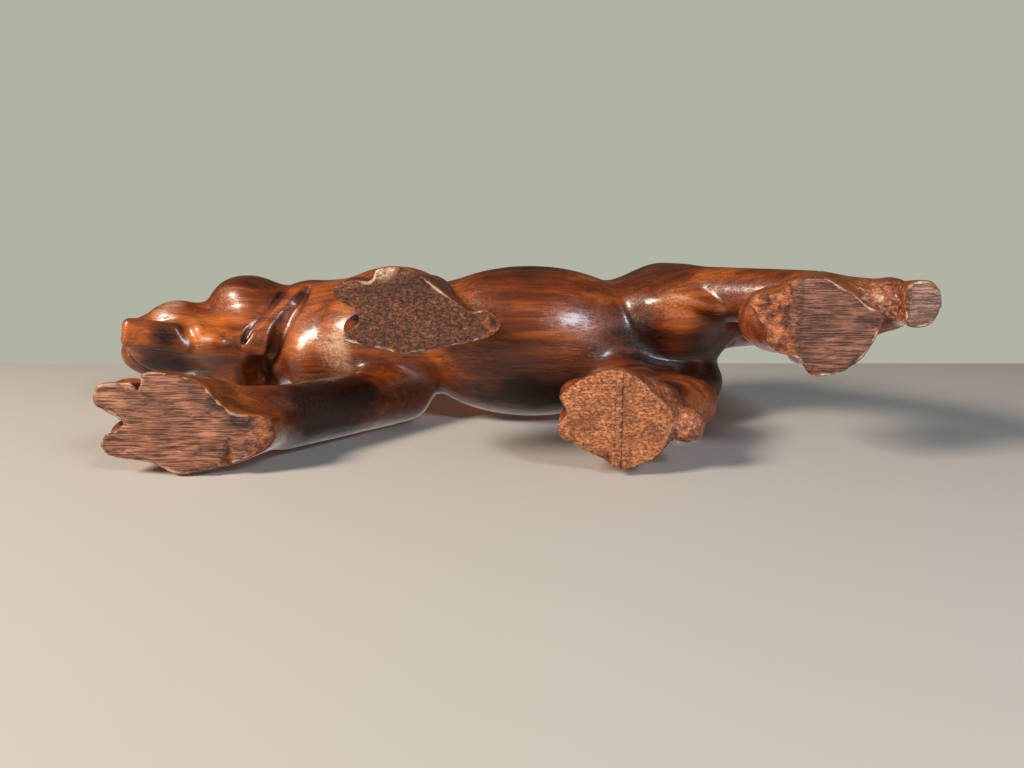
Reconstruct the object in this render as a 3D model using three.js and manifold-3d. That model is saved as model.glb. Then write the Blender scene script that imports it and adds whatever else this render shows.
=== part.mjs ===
// A small carved hardwood tiger, stalking with its head low and its tail down to the ground.
// It is one piece of wood, cut from a block whose flat underside is still seen in the four
// soles and in the tail tip. Millimetres, +Z up, head towards -X, the tiger's left towards -Y.
// The origin is under the middle of the box around the figure, on the ground.
//
// The figure is a smooth field of blended forms, turned into a mesh and sawn flat at the ground.

import * as THREE from 'three';
import { mergeVertices } from 'three/addons/utils/BufferGeometryUtils.js';
import Module from 'manifold-3d';

const wasm = await Module();
wasm.setup();

// Driving dimensions
const figureLength = 174; // nose to tail tip; the pose below is drawn at this length
const pawHeight = 14; // top of the toes above the ground
const pawClosing = 7.5; // how far the flank of a paw comes in at its top
const toeLength = 3.8; // half sizes of the knuckle over a toe, and its middle above the ground
const toeWidth = 2.9;
const toeHeight = 4.8;
const toeRise = 5.6;
const creaseGouge = 0.8; // radius of the gouge in the narrow folds of the throat
const hollowGouge = 2.0; // and in the wide fold between throat and chest
const lipGroove = 0.9; // radius of the groove between the closed lips
const jawWidth = 6.8; // the flat under the lower jaw
const ridgeRadius = 1.6; // the ridge under the left thigh
const tailRadius = 4.0; // the tail where it is free
const sawAllowance = 2.5; // wood left below the ground before the soles are sawn
const belowGround = 5; // how far the block reaches below the ground
const blockLength = 188; // the block that the figure is cut from
const blockWidth = 52;
const blockHeight = 89;
const eyeRadius = 2.1;
const earHeight = 6.2;
const earThickness = 2.4;
const earHollow = 1.7; // depth of the scoop in front of an ear

// Mesh quality
const cell = 1.4; // sampling step of the field
const triangleLimit = 9200; // triangles left after thinning out the flat places

const drawnLength = 174; // the length at which the places below are written
const scale = figureLength / drawnLength;
const at = (x, y, z) => new THREE.Vector3(x, y, z).multiplyScalar(scale);
const mm = (size) => size * scale;

// Forms, each a signed distance that is negative inside

const ball = (centre, radius) => (p) => p.distanceTo(centre) - radius;

function egg(centre, rx, ry, rz) {
  return (p) => {
    const x = p.x - centre.x;
    const y = p.y - centre.y;
    const z = p.z - centre.z;
    const near = Math.hypot(x / rx, y / ry, z / rz);
    const slope = Math.hypot(x / (rx * rx), y / (ry * ry), z / (rz * rz));
    return slope < 1e-9 ? -Math.min(rx, ry, rz) : (near * (near - 1)) / slope;
  };
}

// A bone runs from a to b and changes its radius evenly on the way.
function bone(a, radiusA, b, radiusB) {
  const along = b.clone().sub(a);
  const lengthSq = along.lengthSq();
  const toPoint = new THREE.Vector3();
  return (p) => {
    toPoint.copy(p).sub(a);
    const share = THREE.MathUtils.clamp(toPoint.dot(along) / lengthSq, 0, 1);
    return toPoint.addScaledVector(along, -share).length() - (radiusA + share * (radiusB - radiusA));
  };
}

// A limb is a chain of bones through joints, each joint a place and a radius.
function limb(joints) {
  const bones = joints.slice(1).map(([b, radiusB], i) => bone(joints[i][0], joints[i][1], b, radiusB));
  return (p) => Math.min(...bones.map((one) => one(p)));
}

// A stroke is a limb of one radius along a smooth curve, thinner where it starts and ends.
function stroke(places, radius, ends = 0.35) {
  const path = new THREE.CatmullRomCurve3(places, false, 'catmullrom', 0.5).getPoints(places.length * 5);
  return limb(path.map((place, i) => {
    const swell = Math.sqrt(Math.sin((Math.PI * i) / (path.length - 1)));
    return [place, radius * (ends + (1 - ends) * swell)];
  }));
}

function roundedBox(centre, hx, hy, hz, rounding) {
  return (p) => {
    const x = Math.abs(p.x - centre.x) - hx + rounding;
    const y = Math.abs(p.y - centre.y) - hy + rounding;
    const z = Math.abs(p.z - centre.z) - hz + rounding;
    const outside = Math.hypot(Math.max(x, 0), Math.max(y, 0), Math.max(z, 0));
    return outside + Math.min(Math.max(x, y, z), 0) - rounding;
  };
}

function blend(a, b, width) {
  const h = Math.max(width - Math.abs(a - b), 0) / width;
  return Math.min(a, b) - (h * h * width) / 4;
}

const carve = (a, b, width) => -blend(-a, b, width);

// Paws: a sole drawn as a smooth closed outline, swelling a little and closing over the toes.

function closedOutline(points) {
  const curve = new THREE.CatmullRomCurve3(
    points.map(([x, y]) => at(x, y, 0)), true, 'centripetal');
  return curve.getPoints(points.length * 4).slice(0, -1);
}

function distanceToOutline(outline, x, y) {
  let nearest = Infinity;
  let inside = false;
  for (let i = 0, j = outline.length - 1; i < outline.length; j = i, i += 1) {
    const a = outline[i];
    const b = outline[j];
    const ex = b.x - a.x;
    const ey = b.y - a.y;
    const wx = x - a.x;
    const wy = y - a.y;
    const share = THREE.MathUtils.clamp((wx * ex + wy * ey) / (ex * ex + ey * ey), 0, 1);
    nearest = Math.min(nearest, Math.hypot(wx - ex * share, wy - ey * share));
    if (a.y > y !== b.y > y && x < (ex * (y - a.y)) / ey + a.x) inside = !inside;
  }
  return inside ? -nearest : nearest;
}

// A paw rises from its sole, leans a little towards its leg and closes to a rounded top, with
// a knuckle over each toe.
function paw({ sole, height, lean, toes }) {
  const outline = closedOutline(sole);
  const box = new THREE.Box3().setFromPoints(outline);
  const middle = box.getCenter(new THREE.Vector3());
  const roof = mm(height);
  const margin = mm(12);
  const reach = middle.distanceTo(box.max) + roof + margin;
  const knuckles = toes.map(([x, y]) => egg(at(x, y, toeRise), mm(toeLength), mm(toeWidth), mm(toeHeight)));
  return (p) => {
    const far = p.distanceTo(middle) - reach;
    if (far > 0) return far + margin;
    const rise = THREE.MathUtils.clamp(p.z, 0, roof);
    const closing = mm(pawClosing) * (1 - Math.sqrt(1 - (rise / roof) ** 2.4));
    const flank = distanceToOutline(outline, p.x - lean[0] * rise, p.y - lean[1] * rise) + closing;
    return knuckles.reduce((sum, knuckle) => blend(sum, knuckle(p), mm(1)), Math.max(flank, p.z - roof));
  };
}

const rightFrontPaw = {
  sole: [[-77, 4], [-75.5, 1.9], [-70, 1.7], [-68.6, 3], [-67.4, -0.2], [-62, 0.1], [-57.4, 1.7], [-52, 7],
    [-45.6, 8.6], [-45.7, 13.8], [-51, 16.8], [-58, 18.7], [-63, 19.2], [-68, 16.9], [-75.5, 15.5],
    [-76.2, 12.3], [-72.2, 9.5], [-76.6, 6.4]],
  toes: [[-66.5, 3.4], [-73, 5], [-72.8, 12.6], [-65, 16]],
  height: pawHeight,
  lean: [0.3, 0.14],
};
const leftFrontPaw = {
  sole: [[-32, -13.6], [-31.4, -16], [-28.5, -17], [-25.4, -16.9], [-23.8, -19], [-19.5, -19.2],
    [-15.5, -17.3], [-9.5, -12.6], [-7.5, -11.2], [-4.6, -11.6], [-2.2, -8.9], [-4.5, -6.6],
    [-12, -4.8], [-19.4, -3.6], [-26, -4.8], [-31, -6.4], [-27.6, -9.4], [-29, -12.2]],
  toes: [[-22.4, -15.8], [-28.4, -14.2], [-27.6, -7.6], [-20, -6.9]],
  height: pawHeight,
  lean: [0.1, 0.04],
};
const rightHindPaw = {
  sole: [[8.4, 4.6], [10, 2.8], [13, 0.8], [18, -0.8], [22.6, 0.4], [26, 3.6], [28.6, 6.4], [29.4, 9.8],
    [28, 14.8], [24.5, 17.3], [20, 18.3], [16.5, 16.4], [12, 13.9], [9.3, 12.5], [8.3, 9.9], [10, 7.2]],
  toes: [[18, 2.8], [13, 5], [12.8, 10], [19, 14]],
  height: pawHeight,
  lean: [0.3, 0.04],
};
const leftHindPaw = {
  sole: [[42.4, -12], [43.6, -14], [48.2, -14.6], [49.5, -16.6], [55.3, -17.4], [60, -15], [66.4, -10.7],
    [66.2, -7.5], [62.5, -1.4], [56.5, 0.7], [54, 0.3], [52, -2.6], [48.2, -3.4], [45.9, -5.6], [45.8, -8.4]],
  toes: [[54, -13.8], [56, -3]],
  height: pawHeight,
  lean: [0.3, -0.08],
};
const tailTip = {
  sole: [[70.6, -12], [71, -16.2], [74.8, -16.8], [76.9, -15], [77, -11], [75.4, -8.7], [71.4, -8.7]],
  toes: [],
  height: 16,
  lean: [-0.08, 0.05],
};

// Where the rim of a sole has broken away, the wood rises in a slope past the line from a to b.
// The edge is given with the reach of its foot along the body.
function brokenEdge([from, to], a, b, slope, most) {
  const along = b.clone().sub(a).normalize();
  return (p) => {
    if (p.x < mm(from) || p.x > mm(to)) return -Infinity;
    const past = along.y * (p.x - a.x) - along.x * (p.y - a.y);
    return past > 0 ? Math.min(past * slope, mm(most)) : -Infinity;
  };
}

const brokenEdges = [
  brokenEdge([-52, -40], at(-48.6, 8, 0), at(-50.6, 17.4, 0), 0.3, 1.2),
  brokenEdge([-9, 0], at(-7.4, -12, 0), at(-8.6, -4, 0), 0.18, 0.8),
  brokenEdge([5, 18.6], at(18.6, 14.8, 0), at(10, 12.2, 0), 0.5, 1.6),
  brokenEdge([40, 54], at(52.6, -2, 0), at(51.6, -16, 0), 0.42, 3.2),
];

// Head, drawn in its own frame: forward, to the tiger's right, and up, from the middle of the skull

const skull = at(-69.5, 2.8, 57);
const headTurn = THREE.MathUtils.degToRad(-8);
const headDrop = THREE.MathUtils.degToRad(12);
const headRoll = THREE.MathUtils.degToRad(12);
const headToFigure = new THREE.Matrix4().makeTranslation(skull)
  .multiply(new THREE.Matrix4().makeRotationZ(-headTurn))
  .multiply(new THREE.Matrix4().makeRotationY(-headDrop))
  .multiply(new THREE.Matrix4().makeRotationX(-headRoll))
  .multiply(new THREE.Matrix4().makeScale(-1, 1, 1));
const figureToHead = headToFigure.clone().invert();

function head() {
  const braincase = egg(at(0, 0, 1), mm(13.5), mm(12.4), mm(11.5));
  const brow = egg(at(8, 0, 5.4), mm(6.5), mm(8.8), mm(4.6));
  const bridge = bone(at(7, 0, 5.6), mm(5), at(22, 0, 1.8), mm(3.7));
  const flews = [
    egg(at(13.6, -4, -2.8), mm(7.2), mm(4.9), mm(5.8)),
    egg(at(18.6, 5, -3.2), mm(8), mm(5.4), mm(6)),
    egg(at(17, 0.6, -1.6), mm(9.4), mm(5.8), mm(6)),
  ];
  const nose = egg(at(25.4, 0, 1.6), mm(2.1), mm(3.6), mm(2.5));
  const lip = egg(at(14, 3.2, -9.4), mm(9.8), mm(6.2), mm(4.6));
  const jaw = roundedBox(at(15, 0.6, -13.4), mm(9), mm(jawWidth / 2), mm(3.8), mm(1.6));
  const jawRoot = bone(at(0, 1, -9), mm(6.6), at(9, 0.6, -11.2), mm(5.2));
  const mouth = limb([[at(26.6, 0, -7.6), mm(lipGroove)], [at(24, 5, -8.2), mm(lipGroove)],
    [at(17, 9.2, -8), mm(lipGroove)], [at(9, 9, -9.6), mm(lipGroove)]]);
  const ruff = egg(at(-2.2, 10.2, -2), mm(9.6), mm(7), mm(10));
  const socket = ball(at(13.6, 7.9, 4.8), mm(2.8));
  const eye = ball(at(11.9, 6.8, 4.2), mm(eyeRadius));
  const earRoot = at(-4.5, 8.8, 9.8);
  const ear = egg(earRoot, mm(earThickness), mm(4.4), mm(earHeight));
  const scoopMiddle = earRoot.clone().add(at(earThickness, 0.4, 1.6));
  const scoop = egg(scoopMiddle, mm(earHollow), mm(2.9), mm(earHeight * 0.6));
  const mirrored = new THREE.Vector3();
  return (p) => {
    mirrored.set(p.x, Math.abs(p.y), p.z);
    let d = blend(braincase(p), brow(p), mm(5));
    d = blend(d, ruff(mirrored), mm(3));
    d = blend(d, bridge(p), mm(4));
    flews.forEach((form) => {
      d = blend(d, form(p), mm(3));
    });
    d = blend(d, jawRoot(p), mm(4));
    d = blend(d, lip(p), mm(1.2));
    d = blend(d, jaw(p), mm(1.8));
    d = carve(d, mouth(mirrored), mm(0.6));
    d = carve(d, socket(mirrored), mm(1.5));
    d = blend(d, eye(mirrored), mm(0.5));
    d = blend(d, nose(p), mm(1));
    d = blend(d, carve(ear(mirrored), scoop(mirrored), mm(0.8)), mm(2.5));
    return d;
  };
}

// Trunk, neck, legs and tail

function figure() {
  const trunk = [
    egg(at(-31, -0.2, 54), mm(19), mm(13), mm(16.5)),
    egg(at(-34, 1.5, 48), mm(14), mm(11), mm(11)),
    egg(at(4.5, 0.8, 45.5), mm(29), mm(17.9), mm(14.5)),
    egg(at(2, 0, 54), mm(32), mm(13.5), mm(12.5)),
    egg(at(36, 0.2, 53.5), mm(16.5), mm(14), mm(14)),
    egg(at(-63, 2.6, 51), mm(10), mm(9), mm(8.6)),
  ];
  const neck = limb([[at(-36, -0.2, 56), mm(12)], [at(-50, -0.6, 57), mm(12.6)], [at(-60, 1, 57), mm(11)]]);
  const shoulders = [
    egg(at(-33, 8.6, 58), mm(11), mm(7), mm(14)),
    egg(at(-31, -8, 58), mm(11), mm(6.6), mm(14)),
  ];
  const haunches = [
    egg(at(36.6, 10.4, 47.5), mm(14.6), mm(8.8), mm(15)),
    egg(at(37, -9, 49), mm(14), mm(7.4), mm(15)),
    egg(at(47.5, -3, 50), mm(9), mm(6), mm(9.5)),
    egg(at(40, -1, 45), mm(11), mm(8), mm(8)),
    egg(at(38, -5.5, 42), mm(9), mm(6), mm(8.4)),
  ];
  const legs = [
    limb([[at(-34, 9, 56), mm(8)], [at(-26, 12.6, 42), mm(6.8)], [at(-47, 12, 15), mm(6.6)],
      [at(-60, 9.6, 7), mm(5.6)]]),
    limb([[at(-31, -8, 56), mm(7.6)], [at(-22.5, -8.8, 40), mm(6.8)], [at(-17, -10.8, 18), mm(6)],
      [at(-18, -11.2, 7), mm(6)]]),
    limb([[at(37, 9.5, 52), mm(8.5)], [at(24, 9.8, 36), mm(7.2)], [at(38.4, 10.4, 22), mm(5.2)],
      [at(27, 9, 7), mm(6)]]),
    limb([[at(37, -9, 52), mm(8)], [at(45, -11.2, 38), mm(6.2)], [at(62, -12, 22), mm(5.4)],
      [at(58, -10, 7), mm(6)]]),
  ];
  const paws = [rightFrontPaw, leftFrontPaw, rightHindPaw, leftHindPaw].map(paw);
  const tail = limb([[at(44, -0.4, 59), mm(tailRadius * 1.7)], [at(57, -0.8, 57), mm(tailRadius * 1.15)],
    [at(67, -3, 46), mm(tailRadius)], [at(72, -8, 29), mm(tailRadius)],
    [at(73.4, -12.2, 12), mm(tailRadius)]]);
  const tip = paw(tailTip);
  const web = bone(at(60, -10, 10), mm(7.6), at(71.4, -11.4, 10), mm(5));
  const webKnot = egg(at(70, -13, 6.8), mm(3.2), mm(2.6), mm(4));
  const heel = egg(at(32.8, 10.7, 3.8), mm(3.8), mm(3.4), mm(3.6));
  const heelHollow = egg(at(65.2, -13.6, 2.2), mm(2.4), mm(1.6), mm(3));
  const instep = egg(at(50.8, -9, 8.2), mm(7.4), mm(6.4), mm(7.4));
  const thighRidge = stroke([at(30.5, -8.2, 37.4), at(37, -10.5, 34.2), at(41.5, -9.8, 31.6),
    at(45.5, -8.4, 29.6)], mm(ridgeRadius));
  const chest = egg(at(-47.6, 3.6, 49), mm(8.4), mm(9.4), mm(10.4));
  const throatBump = egg(at(-69.4, 0.6, 42.6), mm(5), mm(3.6), mm(4.4));
  const throatRidge = limb([[at(-61, -1, 43.8), mm(0.8)], [at(-63, 2.2, 43), mm(1.1)],
    [at(-64.6, 5.6, 43), mm(1.1)]]);
  const creases = [
    stroke([at(-55.4, -12, 54), at(-57.2, -8.7, 49), at(-59.7, -5.2, 45.4), at(-62, -2.3, 43.4),
      at(-63.7, 1.1, 42.6), at(-65, 4.4, 42.4)], mm(creaseGouge)),
    stroke([at(-78, -7.4, 45), at(-76, -5, 40.6), at(-74.2, -1.4, 37.9), at(-73.4, 1.6, 37.6)],
      mm(creaseGouge * 1.4)),
  ];
  const wideFold = stroke([at(-50, -11.5, 51), at(-51.4, -8.6, 47.4), at(-53.4, -5.6, 45.8),
    at(-55, -1.8, 44.6), at(-57, 3, 44.6), at(-59.6, 7, 45)], mm(hollowGouge));
  const throatPit = egg(at(-61.8, 9.4, 46), mm(3), mm(5.4), mm(7));
  const headForm = head();
  const inHead = new THREE.Vector3();
  return (p) => {
    let d = trunk.reduce((sum, form) => blend(sum, form(p), mm(7)), Infinity);
    d = blend(d, neck(p), mm(6));
    shoulders.concat(haunches).forEach((form) => {
      d = blend(d, form(p), mm(3));
    });
    legs.forEach((leg, i) => {
      d = blend(d, blend(leg(p), paws[i](p), mm(3.5)), mm(4));
    });
    d = blend(d, blend(tail(p), tip(p), mm(2)), mm(4));
    d = blend(blend(blend(d, web(p), mm(2.5)), webKnot(p), mm(1.5)), heel(p), mm(1));
    d = blend(d, chest(p), mm(3));
    d = blend(blend(d, instep(p), mm(1.2)), thighRidge(p), mm(2));
    d = carve(d, heelHollow(p), mm(1));
    inHead.copy(p).applyMatrix4(figureToHead);
    d = blend(d, headForm(inHead), mm(3.5));
    d = blend(blend(d, throatBump(p), mm(2)), throatRidge(p), mm(1));
    creases.forEach((crease) => {
      d = carve(d, crease(p), mm(1));
    });
    d = carve(carve(d, wideFold(p), mm(2)), throatPit(p), mm(3));
    brokenEdges.forEach((edge) => {
      d = Math.max(d, edge(p) - p.z);
    });
    return Math.max(d, -mm(sawAllowance) - p.z);
  };
}

// Surface of the field: each cell of a grid is cut into six tetrahedra, and the surface crosses each
// one in a triangle or a quadrilateral, which always gives one closed sheet.

// The corners of one such tetrahedron: from a cell's first corner along each axis in turn.
function cornersAlong(order) {
  const corner = [0, 0, 0];
  return [[...corner], ...order.map((axis) => {
    corner[axis] = 1;
    return [...corner];
  })];
}

function surfaceOf(field, box, step) {
  const tetrahedra = [[0, 1, 2], [0, 2, 1], [1, 0, 2], [1, 2, 0], [2, 0, 1], [2, 1, 0]].map(cornersAlong);
  const size = box.getSize(new THREE.Vector3());
  const nx = Math.ceil(size.x / step) + 1;
  const ny = Math.ceil(size.y / step) + 1;
  const nz = Math.ceil(size.z / step) + 1;
  const index = (i, j, k) => (k * ny + j) * nx + i;
  const placeOf = (n) => new THREE.Vector3(n % nx, Math.floor(n / nx) % ny, Math.floor(n / (nx * ny)))
    .multiplyScalar(step).add(box.min);
  const values = new Float64Array(nx * ny * nz).map((_, n) => field(placeOf(n)));

  const positions = [];
  const crossings = new Map();
  function crossing(m, n) {
    const key = Math.min(m, n) * values.length + Math.max(m, n);
    if (!crossings.has(key)) {
      const share = THREE.MathUtils.clamp(values[m] / (values[m] - values[n]), 0.03, 0.97);
      crossings.set(key, positions.length);
      positions.push(placeOf(m).lerp(placeOf(n), share));
    }
    return crossings.get(key);
  }

  const faces = [];
  const sumOf = (points) => points.reduce((sum, p) => sum.add(p), new THREE.Vector3());
  const middleOf = (points) => sumOf(points).divideScalar(points.length);
  function addFace(face, outward) {
    const [a, b, c] = face.map((v) => positions[v]);
    const facing = b.clone().sub(a).cross(c.clone().sub(a)).dot(outward);
    faces.push(facing < 0 ? face.reverse() : face);
  }
  const offsets = tetrahedra.map((corners) => corners.map(([a, b, c]) => index(a, b, c)));
  const cube = [...new Set(offsets.flat())];
  for (let k = 0; k < nz - 1; k += 1) {
    for (let j = 0; j < ny - 1; j += 1) {
      for (let i = 0; i < nx - 1; i += 1) {
        const base = index(i, j, k);
        const within = cube.filter((offset) => values[base + offset] < 0).length;
        if (within === 0 || within === cube.length) continue;
        offsets.forEach((corners) => {
          const inner = corners.map((offset) => base + offset).filter((n) => values[n] < 0);
          const outer = corners.map((offset) => base + offset).filter((n) => values[n] >= 0);
          if (!inner.length || !outer.length) return;
          const outward = middleOf(outer.map(placeOf)).sub(middleOf(inner.map(placeOf)));
          if (inner.length === 2) {
            const ring = [[0, 0], [0, 1], [1, 1], [1, 0]].map(([m, n]) => crossing(inner[m], outer[n]));
            addFace([ring[0], ring[1], ring[2]], outward);
            addFace([ring[0], ring[2], ring[3]], outward);
          } else {
            addFace(inner.flatMap((m) => outer.map((n) => crossing(m, n))), outward);
          }
        });
      }
    }
  }
  return { positions, faces };
}

// Thinning: in each round the edges whose collapse moves the surface least go first

function thinned({ positions, faces }, limit) {
  const around = positions.map(() => new Set());
  faces.forEach((face, f) => face.forEach((v) => around[v].add(f)));
  const quadrics = positions.map(() => new Float64Array(10));
  const triangle = new THREE.Triangle();
  const normal = new THREE.Vector3();
  const cornersOf = (face) => face.map((v) => positions[v]);
  const normalOf = (a, b, c, target) => triangle.set(a, b, c).getNormal(target);
  faces.forEach((face) => {
    const [a, b, c] = cornersOf(face);
    normalOf(a, b, c, normal);
    const plane = [normal.x, normal.y, normal.z, -normal.dot(a)];
    const weight = triangle.getArea();
    face.forEach((v) => {
      let n = 0;
      for (let i = 0; i < 4; i += 1) {
        for (let j = i; j < 4; j += 1) {
          quadrics[v][n] += weight * plane[i] * plane[j];
          n += 1;
        }
      }
    });
  });

  const errorAt = (q, p) => q[0] * p.x * p.x + q[4] * p.y * p.y + q[7] * p.z * p.z + q[9]
    + 2 * (q[1] * p.x * p.y + q[2] * p.x * p.z + q[5] * p.y * p.z + q[3] * p.x + q[6] * p.y + q[8] * p.z);
  const system = new THREE.Matrix3();
  function cheapest(a, b) {
    const q = quadrics[a].map((value, i) => value + quadrics[b][i]);
    const middle = positions[a].clone().lerp(positions[b], 0.5);
    const steady = 1e-3 * (q[0] + q[4] + q[7]);
    system.set(q[0] + steady, q[1], q[2], q[1], q[4] + steady, q[5], q[2], q[5], q[7] + steady);
    const best = middle.clone().multiplyScalar(steady)
      .sub(new THREE.Vector3(q[3], q[6], q[8]))
      .applyMatrix3(system.invert());
    const place = errorAt(q, best) < errorAt(q, middle) ? best : middle;
    return { a, b, place, cost: errorAt(q, place) };
  }

  const before = new THREE.Vector3();
  const after = new THREE.Vector3();
  function turnsOver(v, other, place) {
    return [...around[v]].some((f) => {
      if (faces[f].includes(other)) return false;
      normalOf(...cornersOf(faces[f]), before);
      normalOf(...faces[f].map((w) => (w === v ? place : positions[w])), after);
      return before.dot(after) < 0.35;
    });
  }

  const neighbours = (v) => new Set([...around[v]].flatMap((f) => faces[f]).filter((w) => w !== v));
  let count = faces.length;
  while (count > limit) {
    const edges = [];
    faces.forEach((face) => face && face.forEach((a, i) => {
      const b = face[(i + 1) % 3];
      if (a < b) edges.push(cheapest(a, b));
    }));
    edges.sort((one, two) => one.cost - two.cost);
    const quota = Math.max(limit, count * 0.8);
    const touched = new Set();
    const countBefore = count;
    for (const { a, b, place } of edges) {
      if (count <= quota) break;
      if (touched.has(a) || touched.has(b)) continue;
      const near = neighbours(a);
      const far = neighbours(b);
      if ([...near].filter((v) => far.has(v)).length !== 2) continue;
      if (turnsOver(a, b, place) || turnsOver(b, a, place)) continue;
      near.forEach((v) => touched.add(v));
      far.forEach((v) => touched.add(v));
      positions[a].copy(place);
      quadrics[b].forEach((value, i) => {
        quadrics[a][i] += value;
      });
      around[b].forEach((f) => {
        if (faces[f].includes(a)) {
          faces[f].forEach((v) => v !== b && around[v].delete(f));
          faces[f] = null;
          count -= 1;
        } else {
          faces[f] = faces[f].map((v) => (v === b ? a : v));
          around[a].add(f);
        }
      });
      around[b].clear();
    }
    if (count === countBefore) break;
  }
  const used = [...new Set(faces.filter(Boolean).flat())];
  const renumbered = new Map(used.map((v, i) => [v, i]));
  return {
    positions: used.map((v) => positions[v]),
    faces: faces.filter(Boolean).map((face) => face.map((v) => renumbered.get(v))),
  };
}

// Solid: the thinned surface, sawn off flat at the ground

function solidOf(vertices, triangles) {
  return new wasm.Manifold(new wasm.Mesh({
    numProp: 3,
    vertProperties: new Float32Array(vertices),
    triVerts: new Uint32Array(triangles),
  }));
}

function sawnAtGround({ positions, faces }, box) {
  const size = box.getSize(new THREE.Vector3());
  const above = new THREE.BoxGeometry(size.x, size.y, box.max.z);
  above.translate((box.min.x + box.max.x) / 2, (box.min.y + box.max.y) / 2, box.max.z / 2);
  above.deleteAttribute('normal');
  above.deleteAttribute('uv');
  const block = mergeVertices(above);
  const carving = solidOf(positions.flatMap((p) => p.toArray()), faces.flat());
  return carving.intersect(solidOf(block.attributes.position.array, block.index.array)).getMesh();
}

// The block stands around the whole figure, with its underside a little below the ground.
const blockMiddle = at(-10, 0, blockHeight / 2 - belowGround);
const blank = new THREE.Box3().setFromCenterAndSize(blockMiddle, at(blockLength, blockWidth, blockHeight));
const carved = thinned(surfaceOf(figure(), blank, mm(cell)), triangleLimit);
const sawn = sawnAtGround(carved, blank);

const geometry = new THREE.BufferGeometry();
geometry.setAttribute('position', new THREE.BufferAttribute(new Float32Array(sawn.vertProperties), 3));
geometry.setIndex(new THREE.BufferAttribute(new Uint32Array(sawn.triVerts), 1));
geometry.computeBoundingBox();
const middle = geometry.boundingBox.getCenter(new THREE.Vector3());
geometry.computeVertexNormals();

const wood = new THREE.MeshStandardMaterial({ color: 0x5e2a12, roughness: 0.3, metalness: 0 });
const tiger = new THREE.Mesh(geometry, wood);
tiger.name = 'tiger';
tiger.position.set(-middle.x, -middle.y, -geometry.boundingBox.min.z);

const part = new THREE.Group();
part.add(tiger);

export default part;
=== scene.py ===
"""Looks for a small carved hardwood tiger: its fine carving, its varnished wood and its sawn soles.

The carving is a smooth field of blended forms, drawn in millimetres: head towards -X, the tiger's left
towards -Y, and z up from the ground. The field is turned into a mesh, which is moved along X and Y onto the
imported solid.
"""

import math

import bpy
import numpy as np
from mathutils import Matrix, Vector


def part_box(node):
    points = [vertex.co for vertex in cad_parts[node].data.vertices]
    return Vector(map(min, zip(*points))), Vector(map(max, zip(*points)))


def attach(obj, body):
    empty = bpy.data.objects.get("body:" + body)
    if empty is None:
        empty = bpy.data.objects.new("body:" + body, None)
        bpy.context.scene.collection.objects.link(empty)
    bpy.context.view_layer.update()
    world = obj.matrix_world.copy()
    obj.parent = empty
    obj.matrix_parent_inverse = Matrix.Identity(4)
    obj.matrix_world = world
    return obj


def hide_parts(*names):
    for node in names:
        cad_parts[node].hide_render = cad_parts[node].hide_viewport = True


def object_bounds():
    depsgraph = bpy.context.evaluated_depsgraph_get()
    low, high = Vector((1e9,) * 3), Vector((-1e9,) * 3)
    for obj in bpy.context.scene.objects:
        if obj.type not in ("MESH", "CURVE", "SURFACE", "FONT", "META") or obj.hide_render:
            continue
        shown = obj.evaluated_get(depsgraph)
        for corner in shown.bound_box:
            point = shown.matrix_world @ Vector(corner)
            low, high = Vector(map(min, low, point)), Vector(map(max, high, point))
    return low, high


bl_info = {
    "name": "Carved Tiger",
    "version": (1, 0, 0),
    "blender": (4, 5, 0),
    "location": "3D View > Sidebar > Tiger",
    "description": "Carves and finishes a small hardwood tiger around its packed model",
    "category": "Object",
}

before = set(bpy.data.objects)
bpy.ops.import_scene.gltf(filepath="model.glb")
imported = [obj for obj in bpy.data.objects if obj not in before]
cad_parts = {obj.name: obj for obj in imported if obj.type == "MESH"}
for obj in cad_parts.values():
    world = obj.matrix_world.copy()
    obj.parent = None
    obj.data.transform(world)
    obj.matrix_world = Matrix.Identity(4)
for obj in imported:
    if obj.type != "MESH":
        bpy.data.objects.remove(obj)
CAD_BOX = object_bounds()
MM = 0.001
DRAWING_LOW = (-104.0, -24.0, -2.0)  # the box that the field is worked out in
DRAWING_HIGH = (84.0, 24.0, 80.0)
FAR = 30  # the field's value before any form is added
TRIANGLES = 195000


# Forms: each gives, for many points at once, a signed distance that is negative inside


def near_box(p, box, width):
    """Points so near a form's box that the form, blended in over that width, can matter there."""
    reach = 1.6 * width + 3
    return np.all((p > row(box[0]) - reach) & (p < row(box[1]) + reach), axis=1)


def length_of(q):
    return np.sqrt(np.einsum("ij,ij->i", q, q))


def row(values):
    return np.asarray(values, np.float32)


def egg(p, centre, radii):
    radii = row(radii)
    q = (p - row(centre)) / radii
    near = length_of(q)
    return near * (near - 1) / np.maximum(length_of(q / radii), 1e-6)


def bone(p, a, radius_a, b, radius_b):
    a = row(a)
    along = row(b) - a
    q = p - a
    share = np.clip(q @ along / (along @ along), 0, 1)
    return length_of(q - share[:, None] * along) - (radius_a + share * (radius_b - radius_a))


def limb(p, joints):
    pairs = zip(joints[:-1], joints[1:])
    return np.minimum.reduce([bone(p, a[:3], a[3], b[:3], b[3]) for a, b in pairs])


def rounded_box(p, centre, half, rounding):
    q = np.abs(p - row(centre)) - row(half) + rounding
    return length_of(np.maximum(q, 0)) + np.minimum(q.max(axis=1), 0) - rounding


def blend(a, b, width):
    h = np.maximum(width - np.abs(a - b), 0) / width
    return np.minimum(a, b) - h * h * (width / 4)


def carve(a, b, width):
    return -blend(-a, b, width)


def joined(d, p, box, form, width):
    """Blends a form into d, working it out only near its box."""
    near = near_box(p, box, width)
    if near.any():
        d[near] = blend(d[near], form(p[near]), width)
    return d


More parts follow.
